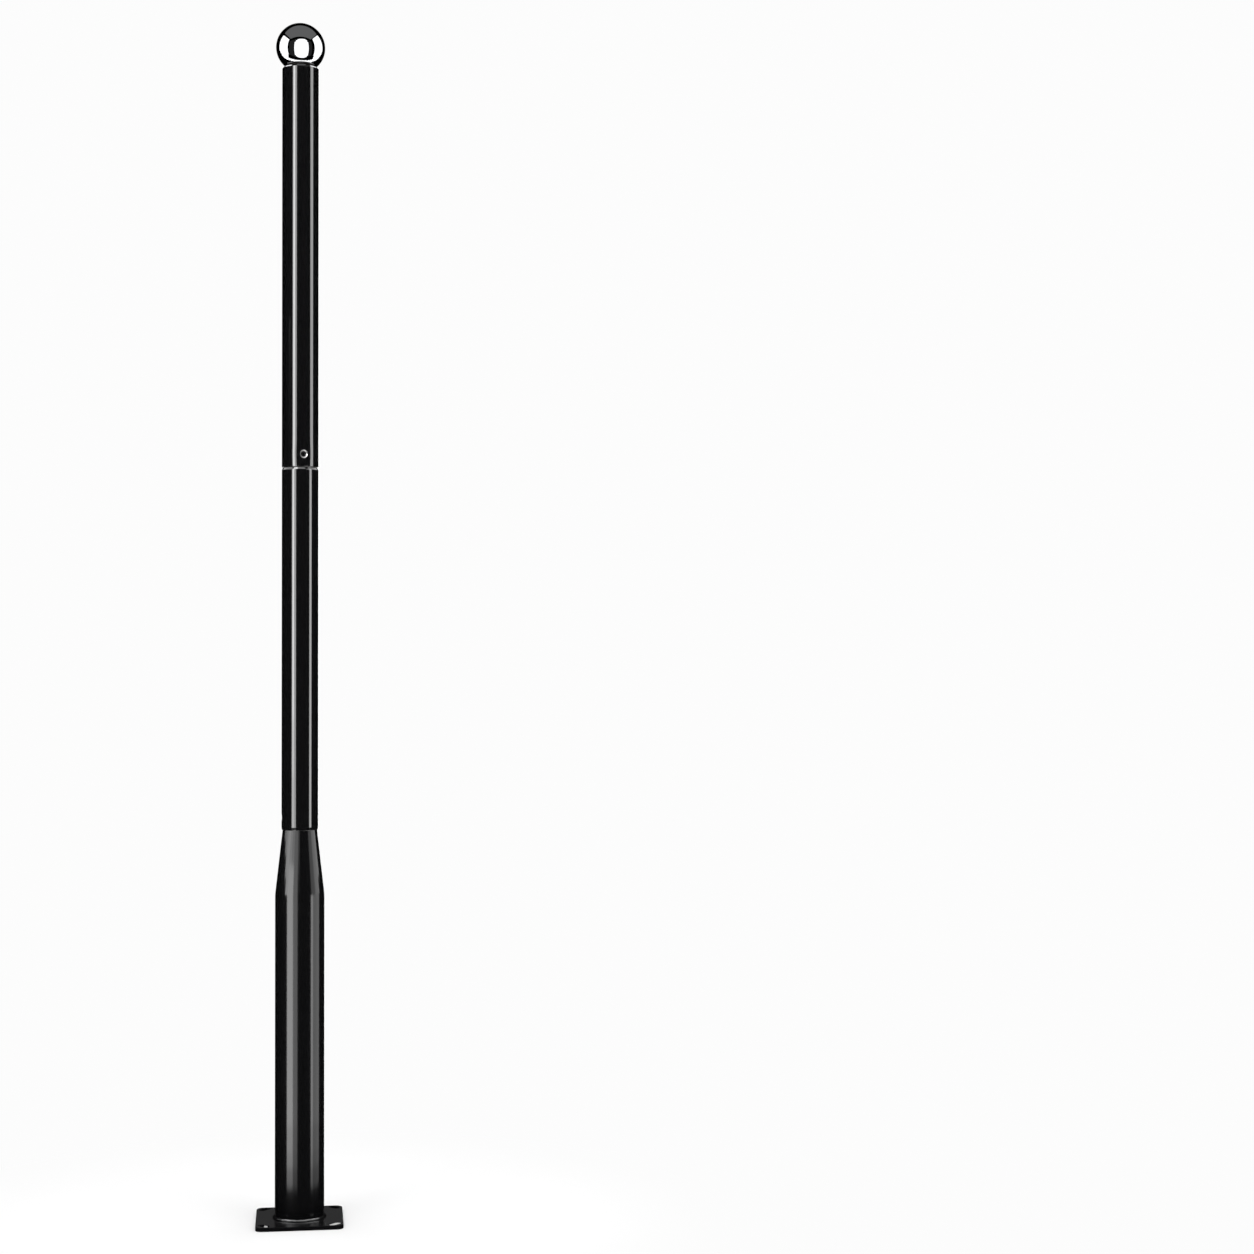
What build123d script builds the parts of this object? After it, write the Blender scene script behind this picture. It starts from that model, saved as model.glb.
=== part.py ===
from build123d import *
import os
from math import atan2, degrees, sqrt

# A flanged steel pole in three sections that plug together, with a polished ball on top.
# Millimetres, +Z up. The origin is the centre of the ground plate's underside, and -Y is the front.

# Ground plate
plate_width = 180.0
plate_thickness = 8.0
plate_corner_radius = 14.0
plate_top_round = 2.0
plate_bottom_chamfer = 0.8
cable_hole_diameter = 60.0
slot_width = 14.0
slot_length = 28.0
slot_edge_distance = 17.5
foot_weld_leg = 5.0

# Base section: a wide tube drawn in to a cone and a narrow neck
base_diameter = 102.0
base_wall = 3.0
base_height = 815.0
cone_height = 135.0
cone_blend_radius = 120.0
neck_inset = 2.4
neck_land_height = 8.0

# Upper sections: two tubes of one size, each seated by the lead-in of its bore
tube_diameter = 76.0
tube_wall = 3.0
middle_length = 750.0
top_length = 833.5
tube_edge_chamfer = 0.6
lead_in_chamfer = 1.2
seat_gap = 0.2

# Plugs that carry the next section
plug_clearance = 1.0
plug_tip_chamfer = 1.5
plug_weld_clearance = 0.2
base_plug_wall = 4.0
base_plug_rise = 66.0
base_plug_insert = 45.0
middle_plug_rise = 60.0

# Drawn shoulder under the middle section's plug
shoulder_height = 9.0
shoulder_crown_radius = 6.0
shoulder_root_radius = 5.0

# Screw holes, through both walls of each plugged joint
screw_hole_diameter = 12.0
screw_hole_height = 26.0
countersink_depth = 2.5
thread_allowance = 1.8
lower_joint_turn = 90.0
upper_joint_turn = 11.0

# Ball and cap
ball_diameter = 102.0
ball_wall = 1.2
ball_seat_diameter = 56.0
cap_inset = 2.0
cap_thickness = 2.5
cap_edge_chamfer = 0.6
skirt_clearance = 0.2
skirt_wall = 2.0
skirt_length = 15.0

# The angle at which each turned surface starts and closes, in degrees, clear of every screw hole
side_line_turn = 50.0

# Radii that follow from the sizes above
base_radius = base_diameter / 2
tube_radius = tube_diameter / 2
bore_radius = tube_radius - tube_wall
neck_radius = tube_radius - neck_inset
plug_radius = bore_radius - plug_clearance
base_plug_bore_radius = plug_radius - base_plug_wall
middle_plug_bore_radius = plug_radius - tube_wall
plug_hole_diameter = screw_hole_diameter - thread_allowance
ball_radius = ball_diameter / 2

# Heights that follow from them, from the ground up
cone_z = base_height - cone_height
neck_overlap = bore_radius + lead_in_chamfer - neck_radius
middle_tube_z = base_height - neck_overlap + seat_gap
shoulder_z = middle_tube_z + middle_length
shoulder_top_z = shoulder_z + shoulder_height
bore_share = (tube_radius - bore_radius) / (tube_radius - plug_radius)
top_tube_z = shoulder_z + shoulder_height * bore_share - lead_in_chamfer + seat_gap
cap_z = top_tube_z + top_length
ball_seat_drop = sqrt(ball_radius**2 - (ball_seat_diameter / 2) ** 2)
ball_z = cap_z + cap_thickness + ball_seat_drop


def turned(points, bends=()):
    """The solid that a closed outline of (radius, height) points sweeps round the Z axis.

    bends lists (point, radius) for the corners that are rounded.
    """
    with BuildSketch(Plane.XZ) as sketch:
        with BuildLine():
            Polyline(*points, close=True)
        make_face()
        for corner, radius in bends:
            fillet(sketch.vertices().sort_by_distance(corner)[0], radius)
    return revolve(sketch.sketch, Axis.Z).rotate(Axis.Z, side_line_turn)


def across(tool, tube_z, turn):
    """Lay an upright cutter across the pole at the screws' height above a tube's lower end.

    turn is the angle from the front towards +X, in degrees.
    """
    laid = tool.rotate(Axis.X, 90).rotate(Axis.Z, turn)
    return Pos(0, 0, tube_z + screw_hole_height) * laid


def tube_hole_cutter(tube_z, turn):
    """The cutter of one joint's pair of screw holes in the outer tube, each countersunk at 45 degrees."""
    hole_radius = screw_hole_diameter / 2
    reach = tube_radius + tube_wall
    mouth_length = reach - tube_radius + countersink_depth
    cutter = turned(
        [
            (0, -reach),
            (hole_radius + mouth_length, -reach),
            (hole_radius, mouth_length - reach),
            (hole_radius, reach - mouth_length),
            (hole_radius + mouth_length, reach),
            (0, reach),
        ]
    )
    return across(cutter, tube_z, turn)


def plug_hole_cutter(tube_z, turn):
    """The cutter of the pair of tapping holes in the plug, in line with the tube's holes."""
    return across(Cylinder(plug_hole_diameter / 2, tube_diameter), tube_z, turn)


def tube_foot(z):
    """Outline points of a tube's lower end at height z, from the bore's lead-in to the outside."""
    return [
        (bore_radius, z + lead_in_chamfer),
        (bore_radius + lead_in_chamfer, z),
        (tube_radius - tube_edge_chamfer, z),
        (tube_radius, z + tube_edge_chamfer),
    ]


def plug_tip(bore, z):
    """Outline points of a plug's top end at height z, from the outside in."""
    return [
        (plug_radius, z - plug_tip_chamfer),
        (plug_radius - plug_tip_chamfer, z),
        (bore, z),
    ]


def flange_plate():
    """The ground plate: eased edges, a hole for the cable and a slot across each diagonal."""
    plate = extrude(RectangleRounded(plate_width, plate_width, plate_corner_radius), plate_thickness)
    plate = fillet(plate.faces().sort_by(Axis.Z)[-1].edges(), plate_top_round)
    plate = chamfer(plate.faces().sort_by(Axis.Z)[0].edges(), plate_bottom_chamfer)
    plate -= extrude(Circle(cable_hole_diameter / 2), plate_thickness)
    reach = plate_width / 2 - slot_edge_distance
    for x in (-reach, reach):
        for y in (-reach, reach):
            slot = SlotOverall(slot_length, slot_width, rotation=degrees(atan2(x, -y)))
            plate -= extrude(Pos(x, y) * slot, plate_thickness)
    return plate


def flange_weld():
    """The fillet weld round the foot of the shaft."""
    return turned(
        [
            (base_radius, plate_thickness),
            (base_radius + foot_weld_leg, plate_thickness),
            (base_radius, plate_thickness + foot_weld_leg),
        ]
    )


def base_shaft():
    """The wide tube, drawn in to a cone whose neck has a straight land inside for the plug."""
    outer_bend = (base_radius, cone_z)
    inner_bend = (base_radius - base_wall, cone_z)
    points = [
        (base_radius - base_wall, plate_thickness),
        (base_radius, plate_thickness),
        outer_bend,
        (neck_radius, base_height),
        (plug_radius, base_height),
        (plug_radius, base_height - neck_land_height),
        inner_bend,
    ]
    return turned(points, [(outer_bend, cone_blend_radius), (inner_bend, cone_blend_radius)])


def base_spigot():
    """The plug that is pressed into the neck and carries the middle section."""
    low = base_height - base_plug_insert
    high = base_height + base_plug_rise
    points = [(base_plug_bore_radius, low), (plug_radius, low)] + plug_tip(base_plug_bore_radius, high)
    return turned(points) - plug_hole_cutter(middle_tube_z, lower_joint_turn)


def base_spigot_weld():
    """The thin seam in the corner of neck and plug, inside the lead-in of the tube above it."""
    leg = neck_radius - plug_radius - plug_weld_clearance
    return turned(
        [
            (plug_radius, base_height),
            (plug_radius + leg, base_height),
            (plug_radius, base_height + leg),
        ]
    )


def middle_tube():
    """The middle section: a tube whose top end is drawn in over a shoulder to make the next plug."""
    crown = (tube_radius, shoulder_z)
    root = (plug_radius, shoulder_top_z)
    inner_root = (bore_radius, shoulder_z)
    inner_crown = (middle_plug_bore_radius, shoulder_top_z)
    points = tube_foot(middle_tube_z) + [crown, root]
    points += plug_tip(middle_plug_bore_radius, shoulder_top_z + middle_plug_rise)
    points += [inner_crown, inner_root]
    bends = [
        (crown, shoulder_crown_radius),
        (root, shoulder_root_radius),
        (inner_root, shoulder_root_radius),
        (inner_crown, shoulder_crown_radius),
    ]
    tube = turned(points, bends) - tube_hole_cutter(middle_tube_z, lower_joint_turn)
    return tube - plug_hole_cutter(top_tube_z, upper_joint_turn)


def top_tube():
    """The top section: a plain tube that stands on the middle section's shoulder."""
    points = tube_foot(top_tube_z) + [
        (tube_radius, cap_z - tube_edge_chamfer),
        (tube_radius - tube_edge_chamfer, cap_z),
        (bore_radius, cap_z),
    ]
    return turned(points) - tube_hole_cutter(top_tube_z, upper_joint_turn)


def finial_cap():
    """The disc that closes the top tube, with a skirt that centres it in the bore."""
    disc_radius = tube_radius - cap_inset
    skirt_radius = bore_radius - skirt_clearance
    skirt_z = cap_z - skirt_length
    return turned(
        [
            (0, cap_z + cap_thickness),
            (disc_radius - cap_edge_chamfer, cap_z + cap_thickness),
            (disc_radius, cap_z + cap_thickness - cap_edge_chamfer),
            (disc_radius, cap_z),
            (skirt_radius, cap_z),
            (skirt_radius, skirt_z),
            (skirt_radius - skirt_wall, skirt_z),
            (skirt_radius - skirt_wall, cap_z),
            (0, cap_z),
        ]
    )


def finial_ball():
    """The hollow ball, cut flat where it stands on the cap."""
    below = Box(
        ball_diameter,
        ball_diameter,
        ball_diameter,
        align=(Align.CENTER, Align.CENTER, Align.MAX),
    )
    shell = Sphere(ball_radius) - Sphere(ball_radius - ball_wall) - Pos(0, 0, -ball_seat_drop) * below
    return Pos(0, 0, ball_z) * shell


pieces = {
    "flange_plate": flange_plate,
    "flange_weld": flange_weld,
    "base_shaft": base_shaft,
    "base_spigot": base_spigot,
    "base_spigot_weld": base_spigot_weld,
    "middle_tube": middle_tube,
    "top_tube": top_tube,
    "finial_cap": finial_cap,
    "finial_ball": finial_ball,
}

os.makedirs("parts", exist_ok=True)
for node, make in pieces.items():
    piece = make()
    piece.label = node
    export_step(piece, f"parts/{node}.step")
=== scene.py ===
"""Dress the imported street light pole: three plugged steel sections on a flanged plate, with a polished ball.

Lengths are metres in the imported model's frame: +Z up, the ground plate's underside at z = 0, the front at -Y.
An angle round the pole is counted from the front towards +X. Every mesh is a surface worked out in numpy.
"""
import logging
from collections.abc import Callable, Sequence
from dataclasses import dataclass, field, replace
from enum import Enum
from functools import cache

import bpy
import numpy as np
from mathutils import Euler, Matrix, Vector


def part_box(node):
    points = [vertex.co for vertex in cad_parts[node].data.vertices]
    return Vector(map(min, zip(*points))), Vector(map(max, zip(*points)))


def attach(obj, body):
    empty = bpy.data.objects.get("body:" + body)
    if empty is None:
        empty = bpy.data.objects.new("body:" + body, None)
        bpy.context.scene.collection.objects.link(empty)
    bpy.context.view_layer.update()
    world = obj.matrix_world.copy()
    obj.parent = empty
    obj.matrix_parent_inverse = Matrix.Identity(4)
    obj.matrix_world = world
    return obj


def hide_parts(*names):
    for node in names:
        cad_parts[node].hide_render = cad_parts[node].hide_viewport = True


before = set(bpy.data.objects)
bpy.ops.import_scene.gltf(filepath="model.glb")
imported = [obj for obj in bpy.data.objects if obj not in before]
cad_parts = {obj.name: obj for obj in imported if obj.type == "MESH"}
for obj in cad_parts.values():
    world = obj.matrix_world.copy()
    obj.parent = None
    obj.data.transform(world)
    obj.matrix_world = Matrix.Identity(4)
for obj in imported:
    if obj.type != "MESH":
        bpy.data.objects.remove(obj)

Array = np.ndarray
Socket = bpy.types.NodeSocket
Sockets = bpy.types.bpy_prop_collection
Thing = bpy.types.Object
Material = bpy.types.Material
Pair = tuple[float, float]
Spot = tuple[float, float, float]
Colour = tuple[float, float, float]
MM = 0.001
# Mesh attribute of how bare of coat a point is; it also marks the painted highlight in the front slots and the
# painted shade on the cap's top.
BARE_AND_PAINTED_LIGHT = "bare"
log = logging.getLogger("street_light_pole")


class Slot(Enum):
    """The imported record's material slots."""

    SATIN = "satin_black_coat"
    GLOSS = "gloss_black_coat"
    STAINLESS = "polished_stainless"


class Set(Enum):
    """The sets of pieces that the lamps tell apart."""

    PLATE = "plate_pieces"
    WELD = "weld_pieces"
    BASE = "base_pieces"
    MIDDLE = "middle_pieces"
    TOP = "top_pieces"
    BALL = "ball_pieces"
    CAP = "cap_pieces"


@dataclass
class Skin:
    """Quad grids gathered into one closed surface; points that coincide are merged when it is made."""

    name: str
    points: list[Array] = field(default_factory=list)
    quads: list[Array] = field(default_factory=list)
    bare: list[Array] = field(default_factory=list)

    def add(self, grid: Array, bare: Array | float = 0.0, keep: Array | None = None) -> None:
        """Span quads between neighbouring rows and columns; the last column joins the first.

        Args:
            grid: Points of shape (rows, columns, 3).
            bare: How bare of coat the points are, 0 to 1, as one value, one a row or one a point; it also marks
                painted light.
            keep: Which cells are filled, of shape (rows - 1, columns). All of them when it is None.
        """
        rows, columns = grid.shape[:2]
        index = np.arange(rows * columns).reshape(rows, columns) + sum(len(p) for p in self.points)
        beside = np.roll(index, -1, axis=1)
        quads = np.stack([index[:-1], beside[:-1], beside[1:], index[1:]], axis=-1)
        self.quads.append(quads.reshape(-1, 4) if keep is None else quads[keep])
        self.points.append(grid.reshape(-1, 3))
        self.bare.append(np.broadcast_to(bare, (rows, columns)).reshape(-1))

    def make(self, sharp: float = 38.0) -> Thing:
        """Merge the grids into a mesh object that stands at the origin.

        A quad with two corners at one point becomes a triangle. The volume that the faces enclose is the sum
        of p0 . (p1 x p2) / 6 over their triangles; where it is negative, every face is turned round.

        Args:
            sharp: Edges that bend by more than this many degrees are shaded sharp.

        Returns:
            The new object.
        """
        points, quads, bare = (np.concatenate(part) for part in (self.points, self.quads, self.bare))
        merge_distance = 0.0001 * MM
        keys = np.round(points / merge_distance).astype(np.int64)
        _, first, merged = np.unique(keys, axis=0, return_index=True, return_inverse=True)
        points, bare, quads = points[first], bare[first], merged.reshape(-1)[quads]
        twin = quads == np.roll(quads, -1, axis=1)
        pinched = twin.sum(axis=1) == 1
        rest = (twin[pinched].argmax(axis=1)[:, None] + np.array([1, 2, 3])) % 4
        triangles = np.take_along_axis(quads[pinched], rest, axis=1)
        quads = quads[~twin.any(axis=1)]
        halves = np.concatenate([quads[:, [0, 1, 2]], quads[:, [0, 2, 3]], triangles])
        a, b, c = (points[halves[:, i]] for i in range(3))
        if np.einsum("ij,ij->", a, np.cross(b, c)) < 0:
            quads, triangles = quads[:, ::-1], triangles[:, ::-1]
        mesh = bpy.data.meshes.new(self.name)
        corners = np.concatenate([quads.ravel(), triangles.ravel()])
        starts = np.concatenate([np.arange(len(quads)) * 4, quads.size + np.arange(len(triangles)) * 3])
        mesh.vertices.add(len(points))
        mesh.vertices.foreach_set("co", points.ravel())
        mesh.loops.add(len(corners))
        mesh.loops.foreach_set("vertex_index", corners)
        mesh.polygons.add(len(starts))
        mesh.polygons.foreach_set("loop_start", starts)
        mesh.update(calc_edges=True)
        mesh.validate()
        mesh.attributes.new(BARE_AND_PAINTED_LIGHT, "FLOAT", "POINT").data.foreach_set("value", bare)
        mesh.shade_smooth()
        mesh.set_sharp_from_angle(angle=np.radians(sharp))
        return put(bpy.data.objects.new(self.name, mesh))


def put(thing: Thing) -> Thing:
    """Put a new object into the scene."""
    bpy.context.scene.collection.objects.link(thing)
    return thing


def unit(vector: Array) -> Array:
    """A vector's direction."""
    return vector / np.linalg.norm(vector)


def part_way(start: Array, end: Array, share: float) -> Array:
    """The points a share of the way from one array's points to another's."""
    return start + (end - start) * share


def round_pole(radius: Array, angle: Array, height: Array) -> Array:
    """Carry radii and heights round Z: x = r sin(a), y = -r cos(a), z = h."""
    return np.stack([radius * np.sin(angle), -radius * np.cos(angle), height + 0 * angle], axis=-1)


def even_angles(columns: int, start: float = 0.0) -> Array:
    """The angles, in radians, of even steps round a circle that starts at an angle in degrees."""
    return np.radians(start) + np.arange(columns) * 2 * np.pi / columns


def turned(outline: Array, columns: int, start: float = 0.0) -> Array:
    """Turn an outline of (radius, height) points into a grid of shape (points, columns, 3)."""
    return round_pole(outline[:, :1], even_angles(columns, start), outline[:, 1:])


def soften(corners: Sequence[Spot], closed: bool = True, step: float = 9.0) -> Array:
    """Round the corners of an outline.

    A corner that turns by t becomes an arc of its radius R, which starts and ends R tan(t / 2) from it.
    A point just outside each end of the arc keeps the flat beside it flat under smooth shading.

    Args:
        corners: (radius from the axis, height, rounding radius) of each corner, in order.
        closed: Whether the last corner joins the first. A closed outline repeats its first point at its end.
        step: The largest turn between two points of an arc, in degrees. They also lie 2 mm apart at most.

    Returns:
        (radius, height) points.
    """
    spots, radii = np.array([c[:2] for c in corners]), [c[2] for c in corners]
    furthest, margin = 2 * MM, 0.3 * MM
    pieces = []
    for i, (spot, radius) in enumerate(zip(spots, radii)):
        if radius == 0 or (not closed and i in (0, len(spots) - 1)):
            pieces.append(spot[None])
            continue
        sides = np.stack([spots[i - 1], spots[(i + 1) % len(spots)]]) - spot
        lengths = np.linalg.norm(sides, axis=1)
        back, ahead = sides / lengths[:, None]
        turn = np.pi - np.arccos(np.clip(back @ ahead, -1, 1))
        reach = radius * np.tan(turn / 2)
        centre = spot + unit(back + ahead) * radius / np.cos(turn / 2)
        steps = max(2, int(np.ceil(np.degrees(turn) / step)), int(np.ceil(radius * turn / furthest)))
        swing = np.linspace(-turn / 2, turn / 2, steps + 1)[:, None]
        arc = centre + radius * (np.cos(swing) * unit(spot - centre) + np.sin(swing) * unit(ahead - back))
        ends = [spot + v * min(reach + margin, (reach + l) / 2) for v, l in zip((back, ahead), lengths)]
        pieces += [ends[0][None], arc, ends[1][None]]
    outline = np.concatenate(pieces)
    return np.concatenate([outline, outline[:1]]) if closed else outline


def with_heights(outline: Array, radius: float, heights: Array) -> Array:
    """Add points to an outline where its straight wall at one radius passes some heights.

    Args:
        outline: (radius, height) points.
        radius: The wall's distance from the axis.
        heights: Rising heights, all on one straight stretch of that wall.

    Returns:
        The outline with the points put in, in its own order.
    """
    here, there = outline[:-1], outline[1:]
    low, high = np.minimum(here[:, 1], there[:, 1]), np.maximum(here[:, 1], there[:, 1])
    on_wall = np.isclose(here[:, 0], radius, atol=1e-6) & np.isclose(there[:, 0], radius, atol=1e-6)
    segment = int(np.argmax(on_wall & (low < heights[0]) & (high > heights[-1])))
    falling = here[segment, 1] > there[segment, 1]
    extra = np.column_stack([np.full(len(heights), radius), heights[::-1] if falling else heights])
    return np.insert(outline, segment + 1, extra, axis=0)


def window(grid: Array, rows: tuple[int, int], middle: int, half: int, keep: Array) -> Array:
    """Open a window in a closed grid and return its edge, once round.

    Args:
        grid: Points of shape (rows, columns, 3).
        rows: The window's bottom and top row, which may stand in the grid in falling order.
        middle: The column through its centre.
        half: How many columns it reaches to each side.
        keep: The grid's filled cells. The window's cells are cleared in it.

    Returns:
        The edge's points, from the bottom row's first column, along that row first.
    """
    low, high = sorted(rows)
    columns = (middle + np.arange(-half, half + 1)) % grid.shape[1]
    keep[low:high, columns[:-1]] = False
    rise = np.arange(low, high + 1)[:: 1 if rows[0] == low else -1]
    bottom, top = grid[rise[0], columns[:-1]], grid[rise[-1], columns[:0:-1]]
    return np.concatenate([bottom, grid[rise[:-1], columns[-1]], top, grid[rise[:0:-1], columns[0]]])


@dataclass(frozen=True)
class WallHole:
    """A round hole through a tube's wall, with a countersunk mouth where it is given a depth."""

    angle: float
    height: float
    outer: float
    inner: float
    bore: float
    countersink: float = 0.0
    half: int = 10
    lip: float = 0.15 * MM
    wall_shares: tuple[float, ...] = (0.3, 0.6, 0.85)
    cone_shares: tuple[float, ...] = (0.12, 0.88, 1.0)
    bore_wear: tuple[Pair, ...] = ((0.0, 0.4), (0.15, 0.0), (0.5, 0.0))

    def axes(self) -> tuple[Array, Array]:
        """Directions across the hole and out along it."""
        turn = np.radians(self.angle)
        return np.array([np.cos(turn), np.sin(turn), 0]), np.array([np.sin(turn), -np.cos(turn), 0])

    def placed(self, x: Array, z: Array, y: Array) -> Array:
        """Points across the hole, up from its middle and out from the pole's axis, in the model's frame."""
        across, out = self.axes()
        return x[..., None] * across + y[..., None] * out + np.array([0, 0, 1]) * (z + self.height)[..., None]

    def on_wall(self, x: Array, z: Array, radius: float) -> Array:
        """Points laid on the wall of a radius R, at y = sqrt(R^2 - x^2)."""
        return self.placed(x, z, np.sqrt(radius**2 - x**2))

    def mouth(self) -> Spot:
        """The middle of the hole in the outer wall."""
        return tuple((self.axes()[1] * self.outer + np.array([0, 0, self.height])).tolist())

    def heights(self, columns: int) -> Array:
        """The rows of its window, as far apart as the outer wall's columns."""
        return self.height + np.arange(-self.half, self.half + 1) * 2 * np.pi * self.outer / columns

    def rings(self, outer_edge: Array, inner_edge: Array) -> tuple[Array, Array]:
        """Join the windows of the outer and inner wall by rings that run through the hole.

        The mouth's rim is where a 45 degree cone meets the outer wall of radius R: its own radius is the bore
        plus the countersink's depth, less the wall's fall R - sqrt(R^2 - x^2), which a few rounds settle.

        Args:
            outer_edge: The outer window's edge.
            inner_edge: The inner window's edge, in the same order.

        Returns:
            The rings, of shape (rings, points, 3), and how bare each of them is.
        """
        across, _ = self.axes()
        (x0, z0), (x1, z1) = ((e @ across, e[:, 2] - self.height) for e in (outer_edge, inner_edge))
        swing = np.arctan2(z0, x0)
        cos, sin = np.cos(swing), np.sin(swing)
        rim = np.full_like(cos, self.bore + self.countersink)
        for _ in range(6):
            rim = self.bore + self.countersink - self.outer + np.sqrt(self.outer**2 - (rim * cos) ** 2)
        lip, lip_mark, rim_wear = rim + self.lip, 0.15, 0.8 if self.countersink else 0.3
        made = [(outer_edge, 0.0)]
        for share in self.wall_shares:
            x, z = part_way(x0, rim * cos, share), part_way(z0, rim * sin, share)
            made.append((self.on_wall(x, z, self.outer), 0.0))
        made.append((self.on_wall(lip * cos, lip * sin, self.outer), lip_mark))
        made.append((self.on_wall(rim * cos, rim * sin, self.outer), rim_wear))
        wall, floor = np.sqrt(self.outer**2 - (rim * cos) ** 2), self.outer - self.countersink
        for share in self.cone_shares if self.countersink else ():
            cone = part_way(rim, self.bore, share)
            made.append((self.placed(cone * cos, cone * sin, part_way(wall, floor, share)), 1.0))
        for share, wear in self.bore_wear:
            x, z = part_way(self.bore * cos, x1, share), part_way(self.bore * sin, z1, share)
            made.append((self.on_wall(x, z, self.inner), wear))
        rings, bare = zip(*made, (inner_edge, 0.0))
        return np.stack(rings), np.array(bare)[:, None]


@dataclass(frozen=True)
class Tube:
    """A turned tube with holes through its wall."""

    name: str
    outline: Array
    holes: Sequence[WallHole] = ()
    bare: Callable[[Array], Array] = lambda outline: 0 * outline[:, 0]
    columns: int = 192

    def make(self) -> Thing:
        """Turn the outline, open the holes' windows in both walls and join them through the wall.

        Returns:
            The tube as one closed mesh.
        """
        start = self.holes[0].angle if self.holes else 0.0
        outline = self.outline
        rows = {(wall, h.height): h.heights(self.columns) for h in self.holes for wall in (h.outer, h.inner)}
        for (wall, _), heights in rows.items():
            outline = with_heights(outline, wall, heights)
        grid = turned(outline, self.columns, start)
        keep = np.ones((len(outline) - 1, self.columns), bool)
        skin = Skin(self.name)
        for hole in self.holes:
            middle = round((hole.angle - start) / 360 * self.columns)
            edges = []
            for wall in (hole.outer, hole.inner):
                ends = [(wall, hole.heights(self.columns)[end]) for end in (0, -1)]
                at = [int(np.argmin(np.hypot(*(outline - end).T))) for end in ends]
                edges.append(window(grid, (at[0], at[1]), middle, hole.half, keep))
            skin.add(*hole.rings(*edges))
        skin.add(grid, self.bare(outline)[:, None], keep)
        return skin.make()


class NodeBench:
    """A node tree with short calls that add and join its nodes."""

    def __init__(self, tree: bpy.types.NodeTree) -> None:
        """Work on one tree, from empty."""
        self.tree = tree
        tree.nodes.clear()

    def node(
        self, kind: str, inputs: dict[str | int, object] | None = None, **settings: object
    ) -> bpy.types.Node:
        """Add a node.

        Args:
            kind: Its type name, less the prefix ShaderNode.
            inputs: For each socket a value, or the output socket that feeds it.
            settings: Its other properties.

        Returns:
            The new node.
        """
        made = self.tree.nodes.new("ShaderNode" + kind)
        for key, value in settings.items():
            setattr(made, key, value)
        for key, value in (inputs or {}).items():
            if isinstance(value, Socket):
                self.tree.links.new(value, made.inputs[key])
            else:
                made.inputs[key].default_value = value
        return made

    def math(self, operation: str, *values: object) -> Socket:
        """The result of a Math node on up to three values or sockets."""
        return self.node("Math", dict(enumerate(values)), operation=operation).outputs[0]

    def ramp(self, value: Socket, low: object, high: object, **settings: object) -> Socket:
        """A value's place between a low and a high one, 0 to 1."""
        inputs = {"Value": value, "From Min": low, "From Max": high}
        return self.node("MapRange", inputs, **settings).outputs[0]

    def blend(self, share: Socket, low: Colour | Socket, high: Colour | Socket) -> Socket:
        """Mix two colours by a share."""
        low, high = (c if isinstance(c, Socket) else (*c, 1.0) for c in (low, high))
        return self.node("Mix", {0: share, 6: low, 7: high}, data_type="RGBA").outputs[2]

    def between(self, share: Socket, low: object, high: object) -> Socket:
        """Mix two values by a share."""
        return self.node("Mix", {0: share, 2: low, 3: high}, data_type="FLOAT").outputs[0]

    def drift(self, place: Socket, size: Socket, amount: Socket, **noise: float) -> Socket:
        """Amount times (noise - 0.5), in lumps about a size across."""
        made = self.node("TexNoise", {"Vector": place, "Scale": self.math("DIVIDE", 1.0, size), **noise})
        return self.math("MULTIPLY", self.math("SUBTRACT", made.outputs[0], 0.5), amount)


def coat_texture(bench: NodeBench, given: Sockets) -> Socket:
    """Height of a sprayed coat: Depth times (noise - 0.5), with lumps about Size across."""
    return bench.drift(given["Vector"], given["Size"], given["Depth"], Detail=2.0, Roughness=0.45)


def gloss_patches(bench: NodeBench, given: Sockets) -> Socket:
    """Roughness that drifts: Base plus Spread times (noise - 0.5), in patches about Size across."""
    drift = bench.drift(given["Vector"], given["Size"], given["Spread"], Detail=4.0, Roughness=0.6)
    return bench.math("ADD", given["Base"], drift)


def bare_edge(bench: NodeBench, given: Sockets) -> Socket:
    """Where the coat has gone, and the flange's painted highlight: Wear plus a ragged noise, cut to 0 or 1 over
    a narrow step.
    """
    ragged = bench.drift(given["Vector"], given["Size"], given["Ragged"], Detail=3.0)
    return bench.ramp(bench.math("ADD", given["Wear"], ragged), 0.45, 0.6)


def buffing_lines(bench: NodeBench, given: Sockets) -> Socket:
    """Height of buffing lines that run round the pole: noise drawn out sideways, times Depth."""
    drawn = bench.node("VectorMath", {0: given["Vector"], 1: (0.04, 0.04, 1.0)}, operation="MULTIPLY")
    return bench.drift(drawn.outputs[0], given["Spacing"], given["Depth"], Detail=2.0)


def settled_dust(bench: NodeBench, given: Sockets) -> Socket:
    """Dust on faces that look up: the normal's height above Slope, times a patchy noise and Amount.

    Args:
        bench: The group's bench.
        given: The group's inputs.

    Returns:
        The mask.
    """
    upward = bench.node("SeparateXYZ", {0: bench.node("NewGeometry").outputs["Normal"]}).outputs["Z"]
    grain = {"Scale": 60.0, "Detail": 6.0, "Roughness": 0.7}
    noise = bench.node("TexNoise", {"Vector": given["Vector"], **grain})
    patchy = bench.ramp(noise.outputs[0], 0.3, 0.7)
    facing = bench.ramp(upward, given["Slope"], 1.0)
    return bench.math("MULTIPLY", bench.math("MULTIPLY", facing, patchy), given["Amount"])


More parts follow.
